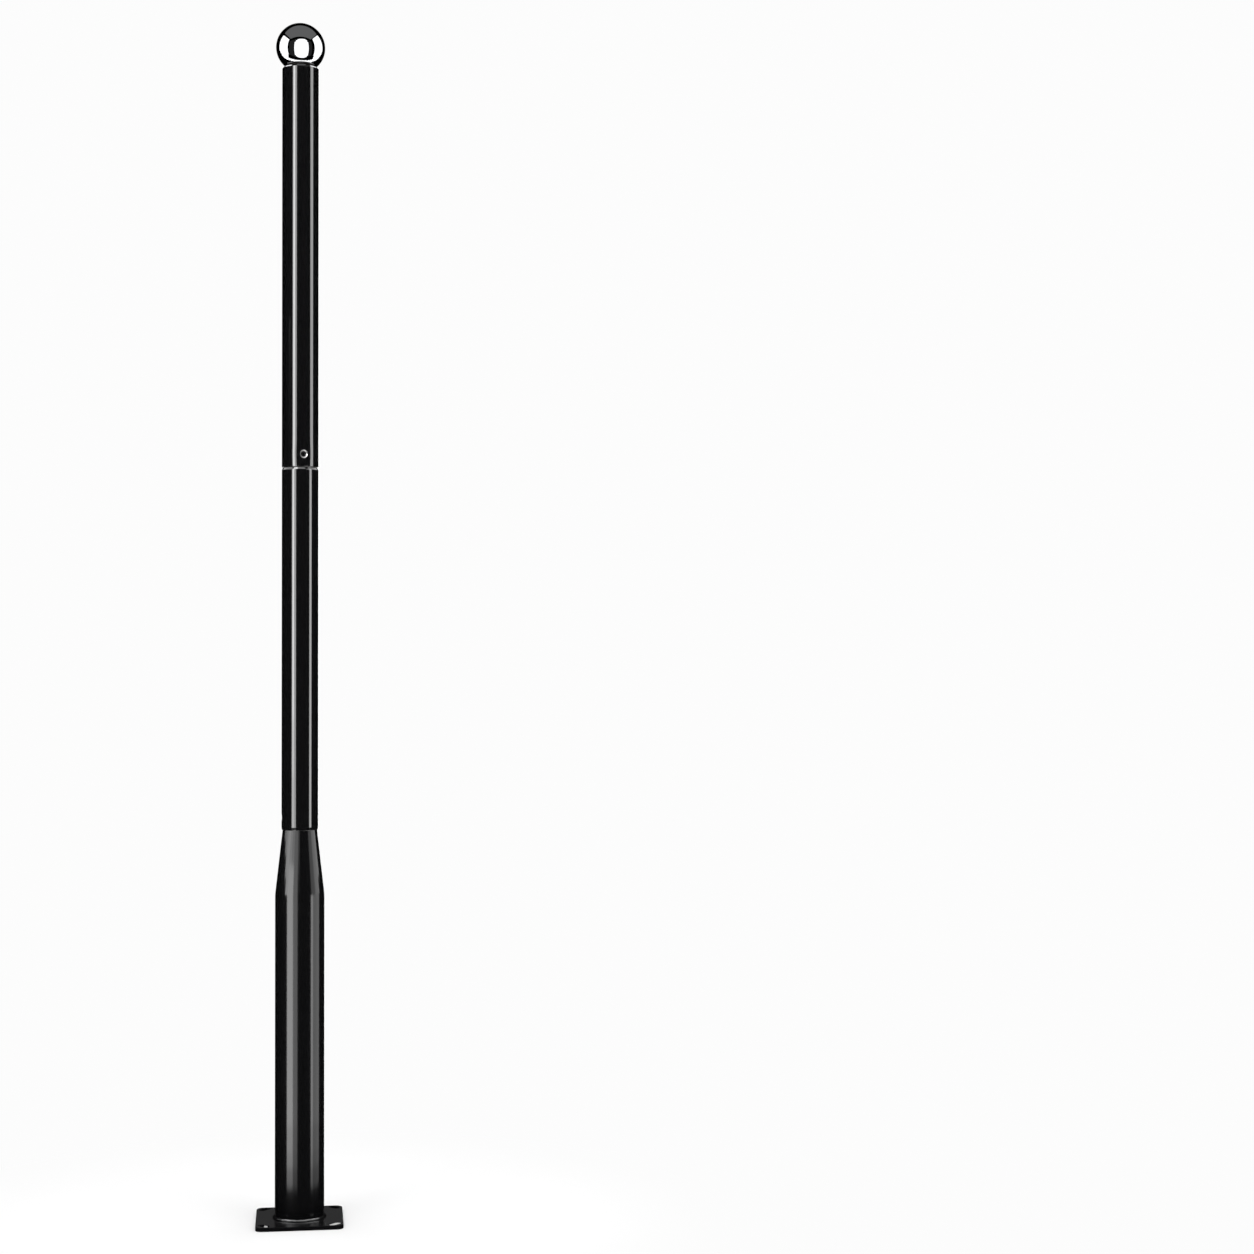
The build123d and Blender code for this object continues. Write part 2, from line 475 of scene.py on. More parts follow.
def press_mark(bench: NodeBench, given: Sockets) -> Socket:
    """Height of a shallow pit round a Spot: -Depth exp(-(d / Reach)^2) at a distance d from it.

    Args:
        bench: The group's bench.
        given: The group's inputs.

    Returns:
        The height.
    """
    ends = {0: given["Vector"], 1: given["Spot"]}
    away = bench.node("VectorMath", ends, operation="DISTANCE").outputs["Value"]
    share = bench.math("DIVIDE", away, given["Reach"])
    fall = bench.math("EXPONENT", bench.math("MULTIPLY", bench.math("MULTIPLY", share, share), -1.0))
    return bench.math("MULTIPLY", bench.math("MULTIPLY", fall, given["Depth"]), -1.0)


class Effect(Enum):
    """Effects that finishes share, each a shader node group: its maker, its output, its inputs' defaults."""

    TEXTURE = (coat_texture, "Height", {"Size": 0.002, "Depth": 0.00001})
    PATCHES = (gloss_patches, "Roughness", {"Size": 0.1, "Base": 0.2, "Spread": 0.05})
    BARE_EDGE = (bare_edge, "Mask", {"Wear": 0.0, "Size": 0.0015, "Ragged": 0.3})
    BUFFING = (buffing_lines, "Height", {"Spacing": 0.0004, "Depth": 0.0000005})
    DUST = (settled_dust, "Mask", {"Amount": 0.5, "Slope": 0.5})
    PRESS = (press_mark, "Height", {"Spot": None, "Reach": 0.02, "Depth": 0.001})

    def group(self) -> bpy.types.NodeTree:
        """Give the effect's node group, built the first time that it is asked for.

        Returns:
            The group. An input whose default is None is a vector, and the others are numbers.
        """
        maker, output, inputs = self.value
        found = bpy.data.node_groups.get(maker.__name__)
        if found:
            return found
        tree = bpy.data.node_groups.new(maker.__name__, "ShaderNodeTree")
        for key, value in {"Vector": None, **inputs}.items():
            kind = "NodeSocketVector" if value is None else "NodeSocketFloat"
            socket = tree.interface.new_socket(name=key, in_out="INPUT", socket_type=kind)
            if value is not None:
                socket.default_value = value
        tree.interface.new_socket(name=output, in_out="OUTPUT", socket_type="NodeSocketFloat")
        bench = NodeBench(tree)
        source, sink = tree.nodes.new("NodeGroupInput"), tree.nodes.new("NodeGroupOutput")
        tree.links.new(maker(bench, source.outputs), sink.inputs[0])
        return tree


class MaterialBench(NodeBench):
    """The node tree of a new material, with its Object coordinates and a Principled BSDF."""

    def __init__(self, name: str, **fixed: float) -> None:
        """Make the material and its first nodes.

        Args:
            name: The material's name.
            fixed: Values for the shader's own sockets, with underscores for the spaces in their names.
        """
        self.material = bpy.data.materials.new(name)
        self.material.use_nodes = True
        super().__init__(self.material.node_tree)
        self.place = self.node("TexCoord").outputs["Object"]
        constants = {key.replace("_", " "): value for key, value in fixed.items()}
        self.shader = self.node("BsdfPrincipled", constants)
        self.output = self.node("OutputMaterial", {"Surface": self.shader.outputs[0]})

    def effect(self, effect: Effect, **inputs: object) -> Socket:
        """Place a shared effect with this finish's own values and give its output."""
        return self.node("Group", {"Vector": self.place, **inputs}, node_tree=effect.group()).outputs[0]

    def bare_and_painted_light(self) -> Socket:
        """How bare of coat the mesh says that the surface is, and where it marks painted highlight and shade.
        """
        return self.node("Attribute", attribute_name=BARE_AND_PAINTED_LIGHT).outputs["Fac"]

    def feed(self, **sockets: Socket) -> None:
        """Join outputs to the Principled BSDF, with underscores for the spaces in its socket names."""
        for key, socket in sockets.items():
            self.tree.links.new(socket, self.shader.inputs[key.replace("_", " ")])

    def relief(self, height: Socket) -> None:
        """Let a height in metres tilt the shading."""
        self.feed(Normal=self.node("Bump", {"Height": height, "Distance": 1.0}).outputs[0])


@dataclass(frozen=True)
class BlackCoat:
    """Sprayed and baked black coat. Where the mesh marks it, bare steel shows; on the flange, a pale painted
    highlight.
    """

    name: str
    colour: Colour
    tint: Colour
    roughness: float
    spread: float
    grain_size: float
    grain_depth: float
    wave_depth: float
    dust: float
    clear: float = 0.0
    pressed: tuple[Spot, ...] = ()
    press_reach: float = 17 * MM
    press_depth: float = 0.7 * MM
    # Colour, roughness and metal where the mesh marks the coat: bare steel; on the flange, a pale painted
    # highlight.
    marked_colour: Colour = (0.62, 0.61, 0.60)
    marked_roughness: float = 0.3
    marked_metal: bool = True
    dust_colour: Colour = (0.11, 0.105, 0.1)
    dust_sheen: float = 0.3
    clear_roughness_share: float = 0.6
    patch_size: float = 0.12
    shade_size: float = 0.03
    wave_size: float = 0.06

    def material(self) -> Material:
        """Build the finish: coat colour, dust, bare steel and the flange's painted highlight, with the coat's
        own grain as relief.

        Returns:
            The material.
        """
        clear = {"Coat_Weight": self.clear, "Coat_Roughness": self.roughness * self.clear_roughness_share}
        bench = MaterialBench(self.name, IOR=1.5, **clear)
        mask = bench.effect(Effect.BARE_EDGE, Wear=bench.bare_and_painted_light())
        dust = bench.effect(Effect.DUST, Amount=self.dust)
        patches = bench.effect(Effect.PATCHES, Size=self.patch_size, Base=self.roughness, Spread=self.spread)
        shade = bench.effect(Effect.PATCHES, Size=self.shade_size, Base=0.5, Spread=1.0)
        coat = bench.blend(dust, bench.blend(shade, self.colour, self.tint), self.dust_colour)
        sheen = bench.math("ADD", patches, bench.math("MULTIPLY", dust, self.dust_sheen))
        # Where the mesh marks it: bare steel, and on the flange a pale painted highlight.
        bench.feed(
            Base_Color=bench.blend(mask, coat, self.marked_colour),
            Roughness=bench.between(mask, sheen, self.marked_roughness),
        )
        if self.marked_metal:
            bench.feed(Metallic=mask)
        grain = bench.effect(Effect.TEXTURE, Size=self.grain_size, Depth=self.grain_depth)
        waves = bench.effect(Effect.TEXTURE, Size=self.wave_size, Depth=self.wave_depth)
        height = bench.math("ADD", grain, waves)
        for spot in self.pressed:
            pit = bench.effect(Effect.PRESS, Spot=spot, Reach=self.press_reach, Depth=self.press_depth)
            height = bench.math("ADD", height, pit)
        bench.relief(height)
        return bench.material


@dataclass(frozen=True)
class PolishedStainless:
    """Stainless steel, pressed and mirror polished, with the faint lines of the buffing wheel."""

    name: str
    colour: Colour = (0.74, 0.74, 0.75)
    tint: Colour = (0.70, 0.71, 0.73)
    roughness: float = 0.02
    haze_size: float = 0.02
    haze_spread: float = 0.03
    shade_size: float = 0.05
    line_spacing: float = 0.0004
    line_depth: float = 0.0000004
    wave_size: float = 0.04
    wave_depth: float = 0.00003
    # Painted shade on the cap's top round the ball's seat: a dark tone and a dull finish.
    painted_shade_tint: Colour = (0.05, 0.045, 0.042)
    dull_roughness: float = 0.55

    def material(self) -> Material:
        """Build the finish: a mirror with drifting haze, buffing lines and a slow swell of the pressed sheet.

        Where the mesh marks the cap's top round the ball's seat, the steel is dull and painted dark: painted
        shade.

        Returns:
            The material.
        """
        bench = MaterialBench(self.name, Metallic=1.0)
        haze = bench.effect(Effect.PATCHES, Size=self.haze_size, Base=self.roughness, Spread=self.haze_spread)
        shade = bench.effect(Effect.PATCHES, Size=self.shade_size, Base=0.5, Spread=1.0)
        # The mesh marks the cap's top, where the shade round the ball's seat is painted.
        painted_light_mask = bench.bare_and_painted_light()
        bench.feed(
            Base_Color=bench.blend(painted_light_mask, bench.blend(shade, self.colour, self.tint), self.painted_shade_tint),
            Roughness=bench.between(painted_light_mask, haze, self.dull_roughness),
        )
        lines = bench.effect(Effect.BUFFING, Spacing=self.line_spacing, Depth=self.line_depth)
        waves = bench.effect(Effect.TEXTURE, Size=self.wave_size, Depth=self.wave_depth)
        bench.relief(bench.math("ADD", lines, waves))
        return bench.material


@dataclass(frozen=True)
class BlackenedSteel:
    """Oil-blackened screw steel, with bright metal where a tool has rubbed it."""

    name: str
    colour: Colour = (0.016, 0.016, 0.017)
    rubbed: Colour = (0.3, 0.29, 0.28)
    rub_size: float = 0.0006
    rub_ragged: float = 0.6
    oil_size: float = 0.004
    roughness: float = 0.38
    spread: float = 0.25
    pit_size: float = 0.0006
    pit_depth: float = 0.00002

    def material(self) -> Material:
        """Build the finish: a dark oxide with fine pits, rubbed bright at the edges.

        Returns:
            The material.
        """
        bench = MaterialBench(self.name, Metallic=0.8)
        mask = bench.effect(Effect.BARE_EDGE, Wear=bench.bare_and_painted_light(), Size=self.rub_size, Ragged=self.rub_ragged)
        oil = bench.effect(Effect.PATCHES, Size=self.oil_size, Base=self.roughness, Spread=self.spread)
        bench.feed(Base_Color=bench.blend(mask, self.colour, self.rubbed), Roughness=oil)
        bench.relief(bench.effect(Effect.TEXTURE, Size=self.pit_size, Depth=self.pit_depth))
        return bench.material


@dataclass
class Workshop:
    """Keeps the finishes and hands each piece its own."""

    satin: BlackCoat
    flange: BlackCoat
    gloss: BlackCoat
    stainless: PolishedStainless
    screw: BlackenedSteel

    def __post_init__(self) -> None:
        """Build the materials and the sets of pieces that the lamps tell apart."""
        finishes = {Slot.SATIN: self.satin, Slot.GLOSS: self.gloss, Slot.STAINLESS: self.stainless}
        self.materials = {slot: finish.material() for slot, finish in finishes.items()}
        self.flange_material = self.flange.material()
        self.screw_material = self.screw.material()
        self.sets = {kind: bpy.data.collections.new(kind.value) for kind in Set}

    def dress(self, piece: Thing, kind: Set, material: Material) -> None:
        """Give a piece its material and put it in its set.

        Args:
            piece: The piece.
            kind: Its set.
            material: Its material.
        """
        piece.data.materials.clear()
        piece.data.materials.append(material)
        self.sets[kind].objects.link(piece)

    def fit(self, piece: Thing, slot: Slot, node: str, kind: Set, own: Material | None = None) -> None:
        """Dress a new piece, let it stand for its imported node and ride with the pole.

        Args:
            piece: The new piece.
            slot: The record's slot that it takes its finish from.
            node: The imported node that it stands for.
            kind: The set that it belongs to.
            own: Its own variant of the slot's material, where it has one.
        """
        self.dress(piece, kind, own or self.materials[slot])
        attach(piece, "root")
        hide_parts(node)
        log.info("%s stands for %s: %d faces", piece.name, node, len(piece.data.polygons))


@dataclass
class GroundFlange:
    """The square ground plate with its slots, and the weld round the shaft's foot."""

    corner_radius: float = 14 * MM
    top_round: float = 2 * MM
    bottom_chamfer: float = 0.8 * MM
    cable_hole: float = 30 * MM
    slot_width: float = 14 * MM
    slot_length: float = 28 * MM
    slot_edge_distance: float = 17.5 * MM
    slot_lip: float = 0.7 * MM
    columns: int = 480
    fine_shares: Pair = (0.62, 0.978)
    window_rows: tuple[int, int] = (7, 30)
    window_angle: float = 12.5
    # The two front slots' walls get a pale patch along these stretches: a painted highlight in the slots.
    painted_highlight_stretch: tuple[Pair, ...] = ((-1.1, 1.1), (0.0, 0.0), (0.0, 0.0), (-0.5, 0.3))
    weld_ripples: int = 150
    weld_bulge: float = 0.35 * MM
    weld_ripple_depth: float = 0.16 * MM
    weld_bow: float = 2.2
    weld_rows: int = 15
    columns_a_ripple: int = 12
    coarse_rows: int = 7
    fine_rows: int = 25
    round_rows: int = 8
    mouth_shares: tuple[float, ...] = (0.0, 0.35, 0.7, 0.93, 1.0)
    lip_turns: tuple[float, ...] = (22.5, 45, 67.5, 90)
    # Mask values along a slot's lip and wall, which paint the highlight within its stretch.
    lip_mark: float = 0.2
    wall_highlight: tuple[Pair, ...] = ((0.9 * MM, 0.3), (1.2 * MM, 1.0), (5.0 * MM, 1.0))

    def __post_init__(self) -> None:
        """Take the plate's and the weld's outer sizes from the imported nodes."""
        low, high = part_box("flange_plate")
        self.half, self.bottom, self.top = high.x, low.z, high.z
        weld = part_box("flange_weld")[1]
        self.weld_radius, self.weld_top = weld.x, weld.z
        self.shaft_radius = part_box("base_shaft")[1].x

    def square(self, inset: float, angle: Array) -> Array:
        """How far the plate's outline, moved in by an inset, lies from the centre at each angle.

        A ray leaves the square at half / cos, counted from the nearest side's middle. Past the straight
        stretch it meets the corner's circle, whose centre lies c out along both axes, at c (cos + sin) plus
        the square root of r^2 - c^2 (cos - sin)^2.

        Args:
            inset: How far the outline is moved in.
            angle: Angles round the pole, in radians.

        Returns:
            The distance at each angle.
        """
        half, radius = self.half - inset, self.corner_radius - inset
        centre = half - radius
        turn = np.abs((angle + np.pi / 4) % (np.pi / 2) - np.pi / 4)
        cos, sin = np.cos(turn), np.sin(turn)
        straight = half / cos
        corner = centre * (cos + sin) + np.sqrt(np.maximum(radius**2 - centre**2 * (cos - sin) ** 2, 0))
        return np.where(straight * sin <= centre, straight, corner)

    def section(self) -> list[Spot]:
        """The plate's section from the cable hole over the top, round the edge and back below.

        Returns:
            Rows of (share from the hole to the outline, inset of the outline, height). They lie closer
            together between the fine shares, where the slots are.
        """
        near, far = self.fine_shares
        coarse, fine = np.linspace(0, near, self.coarse_rows)[:-1], np.linspace(near, far, self.fine_rows)
        shares = np.concatenate([coarse, fine, [1.0]])
        rows = [(share, self.top_round, self.top) for share in shares]
        swing = np.radians(np.linspace(0, 90, self.round_rows))[1:]
        eased = [(self.top_round * (1 - np.sin(a)), self.top_round * (1 - np.cos(a))) for a in swing]
        rows += [(1.0, inset, self.top - drop) for inset, drop in eased]
        rows += [(1.0, 0.0, self.bottom + part * self.bottom_chamfer) for part in (1.2, 1.0)]
        rows += [(share, self.bottom_chamfer, self.bottom) for share in shares[::-1]]
        return rows + [rows[0]]

    def slot_loop(self, edge: Array, angle: float, height: float, grow: float) -> Array:
        """A slot's outline, with a point on the ray from its centre through each point of its window's edge.

        In the slot's own frame u runs along it and v across it. The ray at angle t meets the straight side at
        w / |sin t| where that lies between the end arcs' centres, c each way, and else the arc at
        c |cos t| + sqrt(w^2 - (c sin t)^2).

        Args:
            edge: The window's edge.
            angle: The angle of the plate's corner, in radians.
            height: The height at which the outline lies.
            grow: How much wider than the slot it is, on each side.

        Returns:
            The outline's points.
        """
        out, along = np.array([np.sin(angle), -np.cos(angle)]), np.array([np.cos(angle), np.sin(angle)])
        middle = out * (self.half - self.slot_edge_distance) * np.sqrt(2)
        u, v = (edge[:, :2] - middle) @ along, (edge[:, :2] - middle) @ out
        turn = np.arctan2(v, u)
        cos, sin = np.abs(np.cos(turn)), np.abs(np.sin(turn))
        width = self.slot_width / 2 + grow
        arc = (self.slot_length - self.slot_width) / 2
        side = width / np.maximum(sin, 1e-9)
        end = arc * cos + np.sqrt(np.maximum(width**2 - (arc * sin) ** 2, 0))
        reach = np.where(side * cos <= arc, side, end)
        spot = middle + reach[:, None] * (np.cos(turn)[:, None] * along + np.sin(turn)[:, None] * out)
        return np.column_stack([spot, np.full(len(spot), height)])

    def slot_wall(self, over: Array, under: Array, turn: float, stretch: Pair) -> tuple[Array, Array]:
        """Rings from a slot's window in the top face down its wall to the window in the underside.

        Args:
            over: The top window's edge.
            under: The bottom window's edge.
            turn: The angle of the plate's corner, in radians.
            stretch: Where a pale painted highlight goes on the wall, along the slot, in half lengths from its
                middle.

        Returns:
            The rings and how bare they are. Within the stretch the wall is painted pale, a painted highlight.
        """
        mouth = self.slot_loop(over, turn, self.top, self.slot_lip)
        made = [(part_way(over, mouth, share), 0.0) for share in self.mouth_shares]
        for swing in np.radians(self.lip_turns):
            drop, grow = self.slot_lip * (1 - np.cos(swing)), self.slot_lip * (1 - np.sin(swing))
            made.append((self.slot_loop(over, turn, self.top - drop, grow), self.lip_mark))
        down = [(self.top - depth, wear) for depth, wear in self.wall_highlight]
        for height, wear in down + [(self.bottom, 1.0)]:
            made.append((self.slot_loop(over, turn, height, 0.0), wear))
        rings, bare = zip(*made, (part_way(made[-1][0], under, 0.5), self.lip_mark), (under, 0.0))
        lengthwise = np.array([np.cos(turn), np.sin(turn), 0])
        along = (mouth - mouth.mean(axis=0)) @ lengthwise * 2 / self.slot_length
        # The pale patch on the wall is a painted highlight.
        painted_light_mask = (along > stretch[0]) & (along < stretch[1])
        return np.stack(rings), np.array(bare)[:, None] * painted_light_mask

    def plate(self) -> Thing:
        """Carry the section round and open a window for each slot, joined through the plate by its wall.

        Returns:
            The plate as one closed mesh.
        """
        angle = even_angles(self.columns)
        share, inset, height = (np.array(part)[:, None] for part in zip(*self.section()))
        outline = np.stack([self.square(float(i), angle) for i in inset[:, 0]])
        grid = round_pole(self.cable_hole + (outline - self.cable_hole) * share, angle, height)
        keep = np.ones((len(grid) - 1, self.columns), bool)
        skin = Skin("ground_plate")
        half = round(self.columns * self.window_angle / 360)
        last = len(grid) - 2
        rows_below = tuple(last - row for row in self.window_rows)
        for corner, stretch in enumerate(self.painted_highlight_stretch):
            turn = np.pi / 4 + corner * np.pi / 2
            middle = round(turn / (2 * np.pi) * self.columns)
            over, under = (window(grid, rows, middle, half, keep) for rows in (self.window_rows, rows_below))
            skin.add(*self.slot_wall(over, under, turn, stretch))
        skin.add(grid, 0.0, keep)
        return skin.make()

    def weld(self) -> Thing:
        """The bead: a leg on the shaft, a leg on the plate, and between them a face that bulges in ripples.

        Across the face a share s runs from the shaft to the plate. The face stands out from the straight line
        by bulge sin(pi s) plus a ripple whose crests are arcs: depth sin(pi s) cos(n a + bow sin(pi s)).
        Slow waves in the angle a let the ripples wander, come and go.

        Returns:
            The bead as one closed mesh.
        """
        angle = even_angles(self.weld_ripples * self.columns_a_ripple)[None]
        share = np.linspace(0, 1, self.weld_rows)[:, None]
        hump = np.sin(np.pi * share)
        uneven = 0.65 + 0.35 * np.sin(7 * angle + 1.3) * np.sin(11 * angle + 0.4)
        wander = 0.6 * np.sin(5 * angle) + 0.4 * np.sin(13 * angle + 2)
        ripple = np.cos(self.weld_ripples * angle + self.weld_bow * hump + wander)
        out = (self.weld_bulge * hump + self.weld_ripple_depth * hump * uneven * ripple) * np.sqrt(0.5)
        radius = part_way(self.shaft_radius, self.weld_radius, share) + out
        height = part_way(self.weld_top, self.top, share) + out
        corner = 0 * angle
        radius = np.concatenate([radius, corner + self.shaft_radius, radius[:1]])
        height = np.concatenate([height, corner + self.top, height[:1]])
        skin = Skin("foot_weld")
        skin.add(round_pole(radius, angle, height))
        return skin.make(sharp=60.0)

    def build(self, shop: Workshop) -> None:
        """Make the plate and the weld."""
        shop.fit(self.plate(), Slot.SATIN, "flange_plate", Set.PLATE, shop.flange_material)
        shop.fit(self.weld(), Slot.SATIN, "flange_weld", Set.WELD)


@dataclass
class BaseSection:
    """The wide tube, drawn in to a cone and a narrow neck. Its plug, hidden inside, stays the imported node."""

    wall: float = 3 * MM
    cone_height: float = 135 * MM
    blend_radius: float = 120 * MM
    neck_radius: float = 35.6 * MM
    plug_radius: float = 34 * MM
    land: float = 8 * MM

    def build(self, shop: Workshop) -> None:
        """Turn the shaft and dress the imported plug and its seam.

        Args:
            shop: Holds the finishes and the sets of pieces.
        """
        low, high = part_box("base_shaft")
        radius, foot, top = high.x, low.z, high.z
        bend = top - self.cone_height
        corners = [
            (radius - self.wall, foot, 0.2 * MM),
            (radius, foot, 0.2 * MM),
            (radius, bend, self.blend_radius),
            (self.neck_radius, top, 0.4 * MM),
            (self.plug_radius, top, 0.1 * MM),
            (self.plug_radius, top - self.land, 1 * MM),
            (radius - self.wall, bend, self.blend_radius),
        ]
        shaft = Tube("base_section", soften(corners), columns=256)
        shop.fit(shaft.make(), Slot.SATIN, "base_shaft", Set.BASE)
        for node in ("base_spigot", "base_spigot_weld"):
            shop.dress(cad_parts[node], Set.BASE, shop.materials[Slot.SATIN])


def tube_foot(outer: float, inner: float, z: float, drawn: float = 0.0) -> list[Spot]:
    """Corners of a tube's lower end: the bore, its lead-in, the cut end and the eased outer edge.

    Args:
        outer: The tube's outer radius.
        inner: The bore's radius.
        z: The height of the cut end.
        drawn: How far the last few millimetres are drawn in.

    Returns:
        Corners for soften, from the bore to the outside.
    """
    lead, ease, drawn_height = 1.2 * MM, 0.6 * MM, 6.2 * MM
    corners = [
        (inner, z + lead, 0.2 * MM),
        (inner + lead, z, 0.2 * MM),
        (outer - drawn - ease, z, 0.25 * MM),
        (outer - drawn, z + ease, 0.25 * MM),
    ]
    return corners + [(outer, z + drawn_height, 2 * MM)] if drawn else corners


def bare_foot(z: float, outer: float) -> Callable[[Array], Array]:
    """Bare steel on a tube's cut end and lead-in.

    Args:
        z: The height of the cut end.
        outer: The tube's outer radius, up to which the coat wraps round the edge.

    Returns:
        A function from (radius, height) points to how bare they are.
    """
    wrap = 0.3 * MM
    return lambda outline: ((outline[:, 1] < z + wrap) & (outline[:, 0] < outer - wrap)).astype(float)


@dataclass
class UpperSections:
    """The two upper tubes, and the screws that hold them on their plugs."""

    wall: float = 3 * MM
    plug_clearance: float = 1 * MM
    shoulder_height: float = 9 * MM
    crown_radius: float = 6 * MM
    root_radius: float = 5 * MM
    plug_rise: float = 60 * MM
    tip_chamfer: float = 1.5 * MM
    screw_height: float = 26 * MM
    hole_radius: float = 6 * MM
    countersink: float = 2.5 * MM
    plug_hole_radius: float = 5.1 * MM
    drawn_foot: float = 0.5 * MM
    lower_turn: float = 90.0
    upper_turn: float = 11.0

    def __post_init__(self) -> None:
        """Take the tubes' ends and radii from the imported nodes, and set out the pairs of screw holes."""
        low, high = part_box("middle_tube")
        self.outer, self.middle_low, self.plug_top = high.x, low.z, high.z
        low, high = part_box("top_tube")
        self.top_low, self.top_high = low.z, high.z
        self.inner = self.outer - self.wall
        self.plug = self.inner - self.plug_clearance
        self.plug_bore = self.plug - self.wall
        tube = (self.outer, self.inner, self.hole_radius, self.countersink)
        self.lower_holes = self.pair(self.middle_low, self.lower_turn, *tube)
        self.upper_holes = self.pair(self.top_low, self.upper_turn, *tube)
        plug = (self.plug, self.plug_bore, self.plug_hole_radius)
        self.plug_holes = self.pair(self.top_low, self.upper_turn, *plug)

    def pair(self, z: float, turn: float, *sizes: float) -> list[WallHole]:
        """Two opposite holes for a joint's screws, through a wall with the given radii."""
        return [WallHole(turn + side, z + self.screw_height, *sizes) for side in (0, 180)]

    def middle(self) -> Thing:
        """The middle tube, whose top end is drawn in over a shoulder to make a plug.

        Returns:
            The tube.
        """
        root = self.plug_top - self.plug_rise
        shoulder = root - self.shoulder_height
        corners = tube_foot(self.outer, self.inner, self.middle_low, self.drawn_foot) + [
            (self.outer, shoulder, self.crown_radius),
            (self.plug, root, self.root_radius),
            (self.plug, self.plug_top - self.tip_chamfer, 0.3 * MM),
            (self.plug - self.tip_chamfer, self.plug_top, 0.3 * MM),
            (self.plug_bore, self.plug_top, 0.2 * MM),
            (self.plug_bore, root, self.crown_radius),
            (self.inner, shoulder, self.root_radius),
        ]
        outline, foot = soften(corners, step=6.0), bare_foot(self.middle_low, self.outer)
        return Tube("middle_section", outline, self.lower_holes + self.plug_holes, foot).make()

    def top(self) -> Thing:
        """The top tube, plain but for its screw holes.

        Returns:
            The tube.
        """
        corners = tube_foot(self.outer, self.inner, self.top_low) + [
            (self.outer, self.top_high, 0.6 * MM),
            (self.inner, self.top_high, 0.2 * MM),
        ]
        foot = bare_foot(self.top_low, self.outer)
        return Tube("top_section", soften(corners), self.upper_holes, foot).make()

    def build(self, shop: Workshop) -> None:
        """Make both tubes and their four set screws.

        Args:
            shop: Holds the finishes and the sets of pieces.
        """
        shop.fit(self.middle(), Slot.GLOSS, "middle_tube", Set.MIDDLE)
        shop.fit(self.top(), Slot.GLOSS, "top_tube", Set.TOP)
        for number, hole in enumerate(self.lower_holes + self.upper_holes, 1):
            screw = SetScrew(f"set_screw_{number}", hole).make()
            shop.dress(screw, Set.TOP, shop.screw_material)
            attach(screw, "root")
            log.info("%s: %d faces", screw.name, len(screw.data.polygons))


@dataclass(frozen=True)
class SetScrew:
    """A threaded set screw with a hexagon socket, sunk in its hole."""

    name: str
    hole: WallHole
    radius: float = 5.85 * MM
    ease: float = 0.9 * MM
    thread_depth: float = 0.75 * MM
    pitch: float = 1.75 * MM
    length: float = 8 * MM
    point: float = 0.8 * MM
    sunk: float = 0.15 * MM
    socket_width: float = 6 * MM
    socket_depth: float = 4 * MM
    drill_point: float = 1 * MM
    socket_chamfer: float = 0.3 * MM
    thread_rows: int = 60
    columns: int = 72

    def make(self) -> Thing:
        """Rings from the socket's floor out over the face and down the thread to the point.

        The hexagon's ring lies at half its width / cos of the angle from the nearest flat's middle. Along the
        thread the radius falls by the thread's depth times a triangle wave of height / pitch less angle /
        full turn, so that the crest climbs one pitch a turn.

        Returns:
            The screw.
        """
        angle = even_angles(self.columns)
        flat = self.socket_width / 2 / np.cos((angle + np.pi / 6) % (np.pi / 3) - np.pi / 6)
        rings = [
            (0.0, -self.socket_depth - self.drill_point, 0.0),
            (flat, -self.socket_depth, 0.0),
            (flat, -self.socket_chamfer, 0.3),
            (flat + self.socket_chamfer, 0.0, 0.25),
            (self.radius - self.ease, 0.0, 0.2),
        ]
        depth = np.linspace(0, -self.length, self.thread_rows)
        wave = np.abs(((depth[:, None] / self.pitch - angle / (2 * np.pi)) % 1) * 2 - 1)
        taper = np.minimum(1, np.minimum(-depth, self.length + depth) / self.ease)[:, None]
        threads = self.radius - self.ease * (1 - taper) - self.thread_depth * wave * taper
        rings += [(radius, low, 0.1) for radius, low in zip(threads, depth)]
        rings.append((0.0, -self.length - self.point, 0.0))
        radius, sink, bare = (np.stack([part + 0 * angle for part in parts]) for parts in zip(*rings))
        face = self.hole.outer - self.hole.countersink - self.sunk
        skin = Skin(self.name)
        skin.add(self.hole.placed(radius * np.cos(angle), radius * np.sin(angle), face + sink), bare)
        return skin.make(sharp=25.0)


